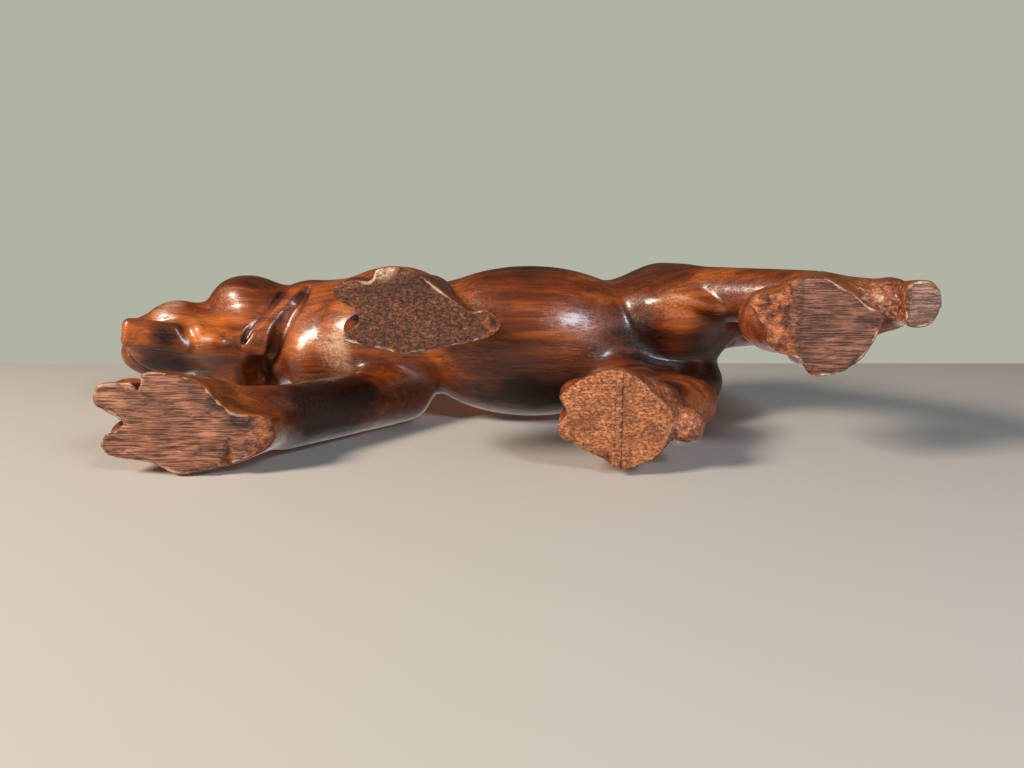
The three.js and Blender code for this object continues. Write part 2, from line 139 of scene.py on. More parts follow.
def cut(d, p, box, form, width):
    """Carves a form out of d, working it out only near its box."""
    near = near_box(p, box, width)
    if near.any():
        d[near] = carve(d[near], form(p[near]), width)
    return d


def egg_box(centre, radii):
    return row(centre) - row(radii), row(centre) + row(radii)


def limb_box(joints):
    joints = row(joints)
    return (joints[:, :3] - joints[:, 3:]).min(0), (joints[:, :3] + joints[:, 3:]).max(0)


def add_egg(d, p, form, width):
    return joined(d, p, egg_box(*form), lambda q: egg(q, *form), width)


def cut_egg(d, p, form, width):
    return cut(d, p, egg_box(*form), lambda q: egg(q, *form), width)


def add_limb(d, p, joints, width):
    return joined(d, p, limb_box(joints), lambda q: limb(q, joints), width)


def cut_limb(d, p, joints, width):
    return cut(d, p, limb_box(joints), lambda q: limb(q, joints), width)


def smooth_path(points, steps=5, closed=False):
    """A Catmull-Rom curve through the points."""
    points = np.asarray(points, float)
    if closed:
        ends = np.vstack([points[-1:], points, points[:2]])
    else:
        ends = np.vstack([2 * points[:1] - points[1:2], points, 2 * points[-1:] - points[-2:-1]])
    out = []
    for p0, p1, p2, p3 in zip(ends, ends[1:], ends[2:], ends[3:]):
        for t in np.arange(steps) / steps:
            out.append(0.5 * (2 * p1 + (p2 - p0) * t + (2 * p0 - 5 * p1 + 4 * p2 - p3) * t * t
                              + (3 * p1 - p0 - 3 * p2 + p3) * t ** 3))
    if not closed:
        out.append(ends[-2])
    return np.asarray(out)


def tapered(points, radius, ends=0.35):
    """A gouge's stroke along a curve, entering and leaving the wood gently, as the joints of a limb."""
    path = smooth_path(points)
    share = np.linspace(0, 1, len(path))
    return np.column_stack([path, radius * (ends + (1 - ends) * np.sin(np.pi * share) ** 0.5)])


# Paws: each sole is a closed outline, leaning towards its leg and closing over the toes

PAW_HEIGHT = 14.0
PAW_CLOSING = 7.5
TOE_SIZE = (3.8, 2.9, 4.8)
TOE_RISE = 5.6

PAWS = [
    {
        "name": "right front",
        "sole": [(-77, 4), (-75.5, 1.9), (-70, 1.7), (-68.6, 3), (-67.4, -0.2), (-62, 0.1), (-57.4, 1.7),
                 (-52, 7), (-45.6, 8.6), (-45.7, 13.8), (-51, 16.8), (-58, 18.7), (-63, 19.2), (-68, 16.9),
                 (-75.5, 15.5), (-76.2, 12.3), (-72.2, 9.5), (-76.6, 6.4)],
        "toes": [(-66.5, 3.4), (-73, 5), (-72.8, 12.6), (-65, 16)],
        "lean": (0.3, 0.14),
    },
    {
        "name": "left front",
        "sole": [(-32, -13.6), (-31.4, -16), (-28.5, -17), (-25.4, -16.9), (-23.8, -19), (-19.5, -19.2),
                 (-15.5, -17.3), (-9.5, -12.6), (-7.5, -11.2), (-4.6, -11.6), (-2.2, -8.9), (-4.5, -6.6),
                 (-12, -4.8), (-19.4, -3.6), (-26, -4.8), (-31, -6.4), (-27.6, -9.4), (-29, -12.2)],
        "toes": [(-22.4, -15.8), (-28.4, -14.2), (-27.6, -7.6), (-20, -6.9)],
        "lean": (0.1, 0.04),
    },
    {
        "name": "right hind",
        "sole": [(8.4, 4.6), (10, 2.8), (13, 0.8), (18, -0.8), (22.6, 0.4), (26, 3.6), (28.6, 6.4),
                 (29.4, 9.8), (28, 14.8), (24.5, 17.3), (20, 18.3), (16.5, 16.4), (12, 13.9), (9.3, 12.5),
                 (8.3, 9.9), (10, 7.2)],
        "toes": [(18, 2.8), (13, 5), (12.8, 10), (19, 14)],
        "lean": (0.3, 0.04),
    },
    {
        "name": "left hind",
        "sole": [(42.4, -12), (43.6, -14), (48.2, -14.6), (49.5, -16.6), (55.3, -17.4), (60, -15),
                 (66.4, -10.7), (66.2, -7.5), (62.5, -1.4), (56.5, 0.7), (54, 0.3), (52, -2.6), (48.2, -3.4),
                 (45.9, -5.6), (45.8, -8.4)],
        "toes": [(54, -13.8), (56, -3)],
        "lean": (0.3, -0.08),
    },
]
TAIL_TIP = {
    "name": "tail tip",
    "sole": [(70.6, -12), (71, -16.2), (74.8, -16.8), (76.9, -15), (77, -11), (75.4, -8.7), (71.4, -8.7)],
    "toes": [],
    "lean": (-0.08, 0.05),
    "height": 16.0,
}


def outline_distance(x, y, outline):
    nearest = np.full(len(x), 1e6, np.float32)
    inside = np.zeros(len(x), bool)
    for a, b in zip(row(outline), row(np.roll(outline, 1, axis=0))):
        edge = b - a
        wx, wy = x - a[0], y - a[1]
        share = np.clip((wx * edge[0] + wy * edge[1]) / (edge @ edge), 0, 1)
        nearest = np.minimum(nearest, (wx - edge[0] * share) ** 2 + (wy - edge[1] * share) ** 2)
        if a[1] != b[1]:
            inside ^= ((a[1] > y) != (b[1] > y)) & (x < edge[0] * (y - a[1]) / edge[1] + a[0])
    return np.where(inside, -np.sqrt(nearest), np.sqrt(nearest))


def paw_box(spec):
    sole = row(spec["sole"])
    roof = spec.get("height", PAW_HEIGHT)
    lean = row(spec["lean"]) * roof
    low = np.minimum(sole.min(0), sole.min(0) + lean) - TOE_SIZE[1]
    high = np.maximum(sole.max(0), sole.max(0) + lean) + TOE_SIZE[1]
    return row([*low, -3]), row([*high, roof])


def paw(p, spec):
    outline = smooth_path(spec["sole"], 4, closed=True)
    roof = spec.get("height", PAW_HEIGHT)
    rise = np.clip(p[:, 2], 0, roof)
    closing = PAW_CLOSING * (1 - np.sqrt(1 - (rise / roof) ** 2.4))
    lean = spec["lean"]
    flank = outline_distance(p[:, 0] - lean[0] * rise, p[:, 1] - lean[1] * rise, outline) + closing
    d = np.maximum(flank, p[:, 2] - roof)
    for x, y in spec["toes"]:
        add_egg(d, p, ((x, y, TOE_RISE), TOE_SIZE), 1.0)
    return d


# Head, in its own frame: forward, to the tiger's right, and up, from the middle of the skull

SKULL = Vector((-69.5, 2.8, 57))
HEAD_TURN = math.radians(-8)
HEAD_DROP = math.radians(12)
HEAD_ROLL = math.radians(12)

FLEWS = [
    ((13.6, -4, -2.8), (7.2, 4.9, 5.8)),
    ((18.6, 5, -3.2), (8, 5.4, 6)),
    ((17, 0.6, -1.6), (9.4, 5.8, 6)),
]
MOUTH_LINE = [(26.6, 0, -7.6, 0.8), (24, 5, -8.2, 0.8), (17, 9.2, -8, 0.8), (9, 9, -9.6, 0.8)]


def head_matrix():
    turned = Matrix.Rotation(-HEAD_TURN, 4, "Z") @ Matrix.Rotation(-HEAD_DROP, 4, "Y")
    return (Matrix.Translation(SKULL) @ turned @ Matrix.Rotation(-HEAD_ROLL, 4, "X")
            @ Matrix.Scale(-1, 4, (1, 0, 0)))


def head(p):
    both = np.column_stack([p[:, 0], np.abs(p[:, 1]), p[:, 2]])
    skull = egg(p, (0, 0, 1), (13.5, 12.4, 11.5))
    brow = egg(p, (8, 0, 5.4), (6.5, 8.8, 4.6))
    cheeks = egg(both, (-2.2, 10.2, -2), (9.6, 7, 10))
    muzzle = bone(p, (7, 0, 5.6), 5, (22, 0, 1.8), 3.7)
    d = blend(blend(blend(skull, brow, 5), cheeks, 3), muzzle, 4)
    for flew in FLEWS:
        d = blend(d, egg(p, *flew), 3)
    jaw = bone(p, (0, 1, -9), 6.6, (9, 0.6, -11.2), 5.2)
    chin = egg(p, (14, 3.2, -9.4), (9.8, 6.2, 4.6))
    flat_under_chin = rounded_box(p, (15, 0.6, -13.4), (9, 3.4, 3.8), 1.6)
    d = blend(blend(blend(d, jaw, 4), chin, 1.2), flat_under_chin, 1.8)
    eye_socket = egg(both, (13.6, 7.9, 4.8), (2.8, 2.8, 2.8))
    eye = egg(both, (11.9, 6.8, 4.2), (2.1, 2.1, 2.1))
    d = carve(carve(d, limb(both, MOUTH_LINE), 0.6), eye_socket, 1.5)
    nose = egg(p, (25.4, 0, 1.6), (2.1, 3.6, 2.5))
    d = blend(blend(d, eye, 0.5), nose, 1)
    ear = egg(both, (-4.5, 8.8, 9.8), (2.4, 4.4, 6.2))
    scoop = egg(both, (-2.1, 9.2, 11.4), (1.7, 2.9, 3.7))
    return blend(d, carve(ear, scoop, 0.8), 2.5)


# Trunk, neck, legs and tail

TRUNK = [
    ((-31, -0.2, 54), (19, 13, 16.5)),
    ((-34, 1.5, 48), (14, 11, 11)),
    ((4.5, 0.8, 45.5), (29, 17.9, 14.5)),
    ((2, 0, 54), (32, 13.5, 12.5)),
    ((36, 0.2, 53.5), (16.5, 14, 14)),
    ((-63, 2.6, 51), (10, 9, 8.6)),
]
MUSCLES = [
    ((-33, 8.6, 58), (11, 7, 14)),
    ((-31, -8, 58), (11, 6.6, 14)),
    ((36.6, 10.4, 47.5), (14.6, 8.8, 15)),
    ((37, -9, 49), (14, 7.4, 15)),
    ((47.5, -3, 50), (9, 6, 9.5)),
    ((40, -1, 45), (11, 8, 8)),
]
THIGH_FILL = ((38, -5.5, 42), (9, 6, 8.2))
NECK = [(-36, -0.2, 56, 12), (-50, -0.6, 57, 12.6), (-60, 1, 57, 11)]
LEGS = [
    [(-34, 9, 56, 8), (-26, 12.6, 42, 6.8), (-47, 12, 15, 6.6), (-60, 9.6, 7, 5.6)],
    [(-31, -8, 56, 7.6), (-22.5, -8.8, 40, 6.8), (-17, -10.8, 18, 6), (-18, -11.2, 7, 6)],
    [(37, 9.5, 52, 8.5), (24, 9.8, 36, 7.2), (38.4, 10.4, 22, 5.2), (27, 9, 7, 6)],
    [(37, -9, 52, 8), (45, -11.2, 38, 6.2), (62, -12, 22, 5.4), (58, -10, 7, 6)],
]
TAIL_RADIUS = 4.0
TAIL = [(44, -0.4, 59, TAIL_RADIUS * 1.7), (57, -0.8, 57, TAIL_RADIUS * 1.15), (67, -3, 46, TAIL_RADIUS),
        (72, -8, 29, TAIL_RADIUS), (73.4, -12.2, 12, TAIL_RADIUS)]
WEB = [(60, -10, 10, 7.6), (71.4, -11.4, 10, 5)]
WEB_KNOT = ((70, -13, 6.8), (3.2, 2.6, 4))
HEEL = ((32.8, 10.7, 3.8), (3.8, 3.4, 3.6))
INSTEP = ((50.8, -9, 8.2), (7.4, 6.4, 7.4))
THIGH_RIDGE = tapered([(30.5, -8.2, 37.4), (37, -10.5, 34.2), (41.5, -9.8, 31.6), (45.5, -8.4, 29.6)], 1.6)
CHEST = ((-47.6, 4.4, 49), (8.4, 10, 10.4))
THROAT_BUMP = ((-69.4, 0.6, 42.6), (5, 3.6, 4.4))
HEEL_HOLLOW = ((65.2, -13.6, 2.2), (2.4, 1.6, 3))
THROAT_PIT = ((-61.8, 9.4, 46), (3, 5.4, 7))
HEAD_BOX = ((-100, -20, 30), (-48, 24, 80))
THROAT_RIDGE = [(-61, -1, 43.8, 0.8), (-63, 2.2, 43, 1.1), (-64.6, 5.6, 43, 1.1)]
FOLDS = [  # the points of each stroke, the gouge's radius, and how softly its edges run out
    ([(-55.4, -12, 54), (-57.2, -8.7, 49), (-59.7, -5.2, 45.1), (-62, -2.3, 43.1), (-63.7, 1.1, 42.4)],
     0.7, 1.0),
    ([(-50, -11.5, 51), (-51.4, -8.6, 47.4), (-53.4, -5.6, 45.8), (-55, -1.8, 44.6), (-57, 3, 44.6),
      (-59.6, 7, 45)], 1.7, 1.8),
    ([(-78, -7.4, 45), (-76, -5, 40.6), (-74.2, -1.4, 37.9), (-73.4, 1.6, 37.6)], 1.1, 2.0),
]


def rough_figure(p):
    """The figure before the soles are sawn."""
    p = np.ascontiguousarray(p, np.float32)
    d = np.full(len(p), FAR, np.float32)
    for form in TRUNK:
        add_egg(d, p, form, 7)
    add_limb(d, p, NECK, 6)
    for form in MUSCLES:
        add_egg(d, p, form, 3)
    for leg, foot in zip(LEGS, PAWS):
        add_leg(d, p, leg, foot, 3.5, 4)
    add_leg(d, p, TAIL, TAIL_TIP, 2, 4)
    add_limb(d, p, WEB, 2.5)
    add_egg(d, p, WEB_KNOT, 1.5)
    add_egg(d, p, HEEL, 1)
    add_egg(d, p, CHEST, 3)
    add_egg(d, p, INSTEP, 1.2)
    add_egg(d, p, THIGH_FILL, 6)
    add_limb(d, p, THIGH_RIDGE, 2)
    cut_egg(d, p, HEEL_HOLLOW, 1)
    to_head = np.array(head_matrix().inverted(), np.float32)
    joined(d, p, HEAD_BOX, lambda q: head(q @ to_head[:3, :3].T + to_head[:3, 3]), 3.5)
    add_egg(d, p, THROAT_BUMP, 2)
    add_limb(d, p, THROAT_RIDGE, 1)
    for points, radius, softness in FOLDS:
        cut_limb(d, p, tapered(points, radius), softness)
    return cut_egg(d, p, THROAT_PIT, 3)


def add_leg(d, p, leg, foot, ankle, root):
    boxes = limb_box(leg), paw_box(foot)
    box = np.minimum(boxes[0][0], boxes[1][0]), np.maximum(boxes[0][1], boxes[1][1])
    near = near_box(p, box, root)
    if near.any():
        q = p[near]
        form = np.full(len(q), FAR, np.float32)
        joined(form, q, boxes[0], lambda r: limb(r, leg), ankle)
        joined(form, q, boxes[1], lambda r: paw(r, foot), ankle)
        d[near] = blend(d[near], form, root)


# Sawn soles

# Chipped facets: the foot's reach along the body, the line where the facet starts, its slope and its rise
CHIPPED_FACETS = [
    ((-52, -40), (-48.6, 8), (-50.6, 17.4), 0.3, 1.2),
    ((-9, 0), (-7.4, -12), (-8.6, -4), 0.18, 0.8),
    ((5, 18.6), (18.6, 14.8), (10, 12.2), 0.5, 1.6),
    ((40, 54), (52.6, -2), (51.6, -16), 0.42, 3.2),
]
SPLIT = [(-51.8, 10.2, -0.2, 0.2), (-52.6, 13.4, -0.2, 0.6), (-53.4, 17.4, 0, 1.2)]


def lattice_noise(p, seed, size=32):
    """Smooth noise from 0 to 1 with features about one unit across."""
    table = np.random.default_rng(seed).random((size,) * 3).astype(np.float32)
    base = np.floor(p).astype(int)
    f = p - base
    f = f * f * (3 - 2 * f)
    total = 0
    for corner in range(8):
        o = np.array([corner >> 2 & 1, corner >> 1 & 1, corner & 1])
        weight = np.prod(np.where(o, f, 1 - f), axis=1)
        total = total + weight * table[tuple(((base + o) % size).T)]
    return total


def beyond(x, y, a, b, slope, most):
    """How far a chipped facet rises past the line from a to b."""
    along = np.subtract(b, a) / math.dist(a, b)
    past = along[1] * (x - a[0]) - along[0] * (y - a[1])
    return np.clip(past, 0, most / slope) * slope


def sole_level(p, depth, saw_marks):
    """Height of the sawn wood above the ground: torn grain, crumbled rims and broken facets."""
    x, y = p[:, 0], p[:, 1]
    flat = p * row([1, 1, 0])
    torn = lattice_noise(flat * row([0.35, 1.1, 1]), 3)
    crumbled = lattice_noise(flat * row([0.5, 0.7, 1]) + 7, 4)
    level = np.clip(torn * 1.5 - 0.6, 0, 1) * saw_marks
    bites = np.clip(lattice_noise(flat * row([0.45, 0.45, 1]) + 3, 6) * 2.2 - 1.1, 0, 1)
    level += np.clip(1.3 - depth, 0, 1.3) * bites * 0.8
    for (low, high), a, b, slope, most in CHIPPED_FACETS:
        rise = np.where((x > low) & (x < high), beyond(x, y, a, b, slope, most), 0)
        level += rise * (0.7 + 0.6 * crumbled)
    return level


def carved(p, settings):
    """The figure sawn off at its soles, with the marks of the knife and the saw."""
    d = rough_figure(p)
    near = np.abs(d) < 4
    q = p[near]
    waves = lattice_noise(q * row([0.13, 0.2, 0.2]), 1)
    waves = waves + 0.4 * lattice_noise(q * row([0.35, 0.5, 0.5]) + 5, 2)
    near_ground = np.clip(q[:, 2] / 6, 0, 1)
    d[near] += (waves - 0.7) * settings.knife_marks * near_ground
    low = near_box(p, ((-100, -30, -9), (100, 30, 2)), 1)
    q = p[low]
    level = sole_level(q, -d[low], settings.saw_marks)
    d[low] = carve(np.maximum(d[low], 0.9 * (level - q[:, 2])), limb(q, SPLIT), 0.3)
    return d


# Mesh of the field


def field_on_grid(field, low, high, step, coarse=4):
    """Values of the field on a grid, worked out finely only near the surface."""
    blocks = np.ceil((high - low) / (step * coarse)).astype(int) + 1
    wide = step * coarse
    grid = np.stack(np.meshgrid(*(np.arange(n) for n in blocks), indexing="ij"), -1).reshape(-1, 3)
    rough = field((low + (grid + 0.5) * wide).astype(np.float32)).reshape(blocks)
    values = rough.repeat(coarse, 0).repeat(coarse, 1).repeat(coarse, 2).astype(np.float32)
    near = np.argwhere(np.abs(values) < wide * 1.5)
    for start in range(0, len(near), 400000):
        part = near[start:start + 400000]
        values[tuple(part.T)] = field((low + (part + 0.5) * step).astype(np.float32))
    return values, low + 0.5 * step


def skin_of(values, low, step):
    """One vertex for each cell that the surface crosses, one quad for each crossed edge."""
    cells = tuple(n - 1 for n in values.shape)
    corners = [(a, b, c) for a in (0, 1) for b in (0, 1) for c in (0, 1)]
    inside = values < 0
    shifted = (inside[tuple(slice(o, o + n) for o, n in zip(corner, cells))] for corner in corners)
    count = sum(part.astype(np.int8) for part in shifted)
    place = np.argwhere((count > 0) & (count < 8))
    number = np.full(cells, -1)
    number[tuple(place.T)] = np.arange(len(place))
    total = np.zeros((len(place), 3))
    hits = np.zeros(len(place))
    for corner in corners:
        for axis in range(3):
            if corner[axis]:
                continue
            one = place + corner
            other = one + np.eye(3, dtype=int)[axis]
            va, vb = values[tuple(one.T)], values[tuple(other.T)]
            crossed = (va < 0) != (vb < 0)
            share = va[crossed] / (va[crossed] - vb[crossed])
            total[crossed] += one[crossed] + share[:, None] * np.eye(3)[axis]
            hits[crossed] += 1
    vertices = low + step * total / hits[:, None]
    quads = []
    for axis in range(3):
        before = tuple(slice(0, -1) if i == axis else slice(None) for i in range(3))
        after = tuple(slice(1, None) if i == axis else slice(None) for i in range(3))
        edge = np.argwhere(inside[before] != inside[after])
        side_a, side_b = np.eye(3, dtype=int)[(axis + 1) % 3], np.eye(3, dtype=int)[(axis + 2) % 3]
        ring = np.stack([number[tuple((edge - a * side_a - b * side_b).T)]
                         for a, b in ((0, 0), (1, 0), (1, 1), (0, 1))], 1)
        outward = inside[tuple(edge.T)]
        quads.append(np.where(outward[:, None], ring, ring[:, ::-1]))
    return vertices, np.concatenate(quads)


def slope_of(field, p, reach=0.05):
    steps = np.eye(3, dtype=np.float32) * reach
    slope = np.stack([field(p + s) - field(p - s) for s in steps], 1)
    return slope / np.maximum(np.linalg.norm(slope, axis=1, keepdims=True), 1e-9)


# Shader maths as Python expressions


class Socket:
    """A shader value or vector that can be added, multiplied and compared."""

    def __init__(self, tree, link):
        self.tree = tree
        self.link = link

    def math(self, operation, *others):
        return self.tree.node("ShaderNodeMath", {"operation": operation}, [self, *others])

    def __add__(self, other):
        return self.math("ADD", other)

    def __sub__(self, other):
        return self.math("SUBTRACT", other)

    def __mul__(self, other):
        return self.math("MULTIPLY", other)

    def __truediv__(self, other):
        return self.math("DIVIDE", other)

    def __rsub__(self, other):
        return self.tree.node("ShaderNodeMath", {"operation": "SUBTRACT"}, [other, self])

    __radd__ = __add__
    __rmul__ = __mul__

    def between(self, low, high):
        """0 below low, 1 above high, smooth in between."""
        settings = {"interpolation_type": "SMOOTHSTEP", "clamp": True}
        values = {"Value": self, "From Min": low, "From Max": high}
        return self.tree.node("ShaderNodeMapRange", settings, values)


class Tree:
    """A material's node tree."""

    def __init__(self, name):
        self.material = bpy.data.materials.new(name)
        self.material.use_nodes = True
        self.nodes = self.material.node_tree.nodes
        self.links = self.material.node_tree.links
        self.shader = self.nodes["Principled BSDF"]

    def node(self, kind, settings=None, values=(), output=0):
        node = self.nodes.new(kind)
        for key, value in (settings or {}).items():
            if key == "stops":
                self.set_stops(node.color_ramp, value)
            else:
                setattr(node, key, value)
        pairs = values.items() if isinstance(values, dict) else enumerate(values)
        for key, value in pairs:
            self.feed(node.inputs[key], value)
        return Socket(self, node.outputs[output])

    def set_stops(self, ramp, stops):
        while len(ramp.elements) < len(stops):
            ramp.elements.new(0.5)
        for element, (place, colour) in zip(ramp.elements, stops):
            element.position = place
            element.color = (*colour, 1)

    def feed(self, socket, value):
        if isinstance(value, Socket):
            self.links.new(value.link, socket)
        else:
            socket.default_value = value

    def place(self, scale=(1, 1, 1), turn=(0, 0, 0), move=(0, 0, 0)):
        """Object coordinates in millimetres, scaled along each axis."""
        coordinates = self.node("ShaderNodeTexCoord", output="Object")
        factor = tuple(s / MM for s in scale)
        return self.node("ShaderNodeMapping", {}, {"Vector": coordinates, "Scale": factor, "Rotation": turn,
                                                   "Location": move})

    def noise(self, where, scale=1.0, detail=3.0, roughness=0.5, distortion=0.0):
        return self.node("ShaderNodeTexNoise", {}, {"Vector": where, "Scale": scale, "Detail": detail,
                                                    "Roughness": roughness, "Distortion": distortion})

    def mix(self, share, a, b):
        node = self.nodes.new("ShaderNodeMix")
        node.data_type = "RGBA"
        self.feed(node.inputs["Factor"], share)
        colours = [s for s in node.inputs if s.type == "RGBA"]
        for socket, value in zip(colours, (a, b)):
            self.feed(socket, value if isinstance(value, Socket) else (*value, 1))
        return Socket(self, next(s for s in node.outputs if s.type == "RGBA"))

    def ramp(self, value, stops, interpolation="LINEAR"):
        node = self.node("ShaderNodeValToRGB", {"stops": stops}, [value])
        node.link.node.color_ramp.interpolation = interpolation
        return node

    def split(self, vector):
        """The three numbers of a vector."""
        split = self.node("ShaderNodeSeparateXYZ", {}, [vector]).link.node
        return [Socket(self, output) for output in split.outputs]

    def ball(self, where, middle, inner, outer):
        """1 within the inner radius around a place, 0 beyond the outer one."""
        away = self.node("ShaderNodeVectorMath", {"operation": "DISTANCE"}, [where, middle], output=1)
        return 1 - away.between(inner, outer)

    def value_mix(self, share, a, b):
        return a + (b - a) * share

    def attribute(self, name):
        return self.node("ShaderNodeAttribute", {"attribute_name": name}, output="Fac")

    def bump(self, height, strength, distance):
        values = {"Height": height, "Strength": strength, "Distance": distance * MM}
        return self.node("ShaderNodeBump", {}, values)

    def finish(self, **sockets):
        for name, value in sockets.items():
            self.feed(self.shader.inputs[name.replace("_", " ")], value)
        return self.material


# Sizes and colours that a user would change


class CarvingSettings(bpy.types.PropertyGroup):
    mesh_step: bpy.props.FloatProperty(
        name="Mesh step",
        description="Spacing of the points that the carving is worked out at, in millimetres",
        default=0.45, min=0.3, max=2.0)
    knife_marks: bpy.props.FloatProperty(
        name="Knife marks", description="Height of the soft unevenness left by the knife, in millimetres",
        default=0.16, min=0.0, max=0.6)
    saw_marks: bpy.props.FloatProperty(
        name="Saw marks", description="Depth of the rough relief of the sawn soles, in millimetres",
        default=0.3, min=0.0, max=1.0)


class FinishSettings(bpy.types.PropertyGroup):
    # The darkest wood colour; painted shade in hollows and under the jaw also runs to it
    dark: bpy.props.FloatVectorProperty(
        name="Dark wood",
        description="Colour of the wood in its darkest streaks and hollows under the varnish",
        subtype="COLOR", size=3, default=(0.014, 0.0035, 0.0016))
    middle: bpy.props.FloatVectorProperty(
        name="Wood", description="Main colour of the varnished wood",
        subtype="COLOR", size=3, default=(0.12, 0.024, 0.0045))
    # The palest varnish colour; painted highlights on edges, chest, throat and chin run to it
    light: bpy.props.FloatVectorProperty(
        name="Light wood", description="Colour of the varnished wood where it is palest",
        subtype="COLOR", size=3, default=(0.42, 0.11, 0.018))
    # Also the colour of the painted highlights on the chest facet and the nose's top
    chipped: bpy.props.FloatVectorProperty(
        name="Chipped wood", description="Colour of the fresh wood at chipped rims",
        subtype="COLOR", size=3, default=(0.68, 0.5, 0.34))


class StageSettings(bpy.types.PropertyGroup):
    floor: bpy.props.FloatVectorProperty(
        name="Surface", description="Colour of the plain surface that the carving lies on",
        subtype="COLOR", size=3, default=(0.36, 0.345, 0.33))
    key_power: bpy.props.FloatProperty(
        name="Key light", description="Power of the main light", default=5.2, min=0.0, unit="POWER")


def attribute_of(mesh, name, values):
    layer = mesh.attributes.new(name, "FLOAT", "POINT")
    layer.data.foreach_set("value", np.asarray(values, np.float32))


class CarveTiger(bpy.types.Operator):
    """Carve the tiger from its field of forms"""

    bl_idname = "tiger.carve"
    bl_label = "Carve the tiger"

    def execute(self, context):
        settings = context.scene.tiger_carving
        step = settings.mesh_step
        low, high = np.array(DRAWING_LOW), np.array(DRAWING_HIGH)
        values, low = field_on_grid(lambda p: carved(p, settings), low, high, step)
        vertices, quads = skin_of(values, low, step)
        points = vertices.astype(np.float32)
        for _ in range(2):
            slope = slope_of(lambda p: carved(p, settings), points)
            points -= 0.8 * carved(points, settings)[:, None] * slope
        mesh = bpy.data.meshes.new("tiger_carving")
        mesh.from_pydata(points.tolist(), [], quads.tolist())
        mesh.validate()
        piece = bpy.data.objects.new("tiger_carving", mesh)
        context.scene.collection.objects.link(piece)
        thin_out(piece, TRIANGLES)
        points = np.empty(len(piece.data.vertices) * 3, np.float32)
        piece.data.vertices.foreach_get("co", points)
        points = points.reshape(-1, 3)
        facing = slope_of(rough_figure, points, 0.2)
        # How much wood stands around each point, which sets the painted shade in hollows; how little lies
        # behind it, which sets the painted highlight on edges; and how deep it was cut
        attribute_of(piece.data, "hollow", np.clip(1 - rough_figure(points + 2 * facing) / 2, 0, 1))
        attribute_of(piece.data, "edge", np.clip(1 + rough_figure(points - 1.5 * facing) / 1.5, 0, 1))
        attribute_of(piece.data, "cut", -rough_figure(points))
        shift = place_in_box(piece, *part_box("tiger"))
        piece.data.shade_smooth()
        piece.data.set_sharp_from_angle(angle=math.radians(55))
        piece.data.materials.append(tiger_wood(context.scene.tiger_finish, shift))
        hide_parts("tiger")
        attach(piece, "root")
        return {"FINISHED"}


def thin_out(piece, triangles):
    """Takes out the points that matter least to the shape."""
    count = sum(len(face.vertices) - 2 for face in piece.data.polygons)
    if count > triangles:
        thinning = piece.modifiers.new("Thin out", "DECIMATE")
        thinning.ratio = triangles / count
        evaluated = piece.evaluated_get(bpy.context.evaluated_depsgraph_get())
        mesh = bpy.data.meshes.new_from_object(evaluated)
        piece.modifiers.clear()
        piece.data = mesh


def place_in_box(piece, low, high):
    """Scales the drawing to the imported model's length, stands it on the ground there and gives its shift."""
    low, high = Vector(low), Vector(high)
    points = np.empty(len(piece.data.vertices) * 3, np.float32)
    piece.data.vertices.foreach_get("co", points)
    points = points.reshape(-1, 3)
    scale = (high.x - low.x) / float(np.ptp(points[:, 0]))
    middle = (points.min(0) + points.max(0)) / 2
    shift = np.array([(low.x + high.x) / 2 / scale - middle[0], (low.y + high.y) / 2 / scale - middle[1], 0])
    points = (points + shift) * scale
    points[:, 2] = np.maximum(points[:, 2], low.z)
    piece.data.vertices.foreach_set("co", points.astype(np.float32).ravel())
    piece.data.update()
    return shift


# Bare wood of each foot: where its stretch of the length starts, as a share of the way from the front to the
# back of the soles; the wood's light and dark colour; and how much short grain, flecks and pale rim it shows
SOLES_FRONT = -100
SOLES_LENGTH = 190
SOLES = [
    {"foot": "right front", "start": 0.0, "light": (0.33, 0.138, 0.083), "dark": (0.05, 0.015, 0.009),
     "short grain": 0.0, "flecks": 0.15, "rim": 0.45},
    {"foot": "left front", "start": 0.337, "light": (0.2, 0.07, 0.033), "dark": (0.018, 0.006, 0.004),
     "short grain": 0.9, "flecks": 0.9, "rim": 0.8},
    {"foot": "right hind", "start": 0.542, "light": (0.58, 0.22, 0.09), "dark": (0.1, 0.026, 0.01),
     "short grain": 0.75, "flecks": 0.5, "rim": 0.15},
    {"foot": "left hind", "start": 0.737, "light": (0.28, 0.118, 0.076), "dark": (0.035, 0.014, 0.01),
     "short grain": 0.1, "flecks": 0.5, "rim": 0.7},
    {"foot": "tail tip", "start": 0.9, "light": (0.36, 0.2, 0.15), "dark": (0.07, 0.038, 0.03),
     "short grain": 0.2, "flecks": 0.2, "rim": 1.0},
]
# Cracks across the soles: place along the body, width and how dark
SOLE_CRACKS = [(20.4, 0.24, 0.8), (19.1, 0.2, 0.5), (51.8, 0.9, 0.45)]
# Painted shade in the right front sole, along its edge by the chipped facet: middle and radius
NOTCH_SHADES = [((-53.6, 5, 0), 3.2), ((-50, 8.4, 0), 3.4)]
PALE_CORNER = (-23, -19.6, 0)  # of the left front sole

# Wood of places rubbed through and of freshly broken places, from their pits to their crests; the first also
# paints the highlights of the chest facet, the nose's top and the left hind toe's rim
WEAR_AND_SHEEN_WOOD = [(0.34, (0.05, 0.014, 0.007)), (0.52, (0.25, 0.085, 0.038)), (0.68, (0.55, 0.28, 0.17))]
BROKEN_WOOD = [(0.38, (0.03, 0.008, 0.004)), (0.5, (0.2, 0.055, 0.02)), (0.64, (0.5, 0.18, 0.065))]
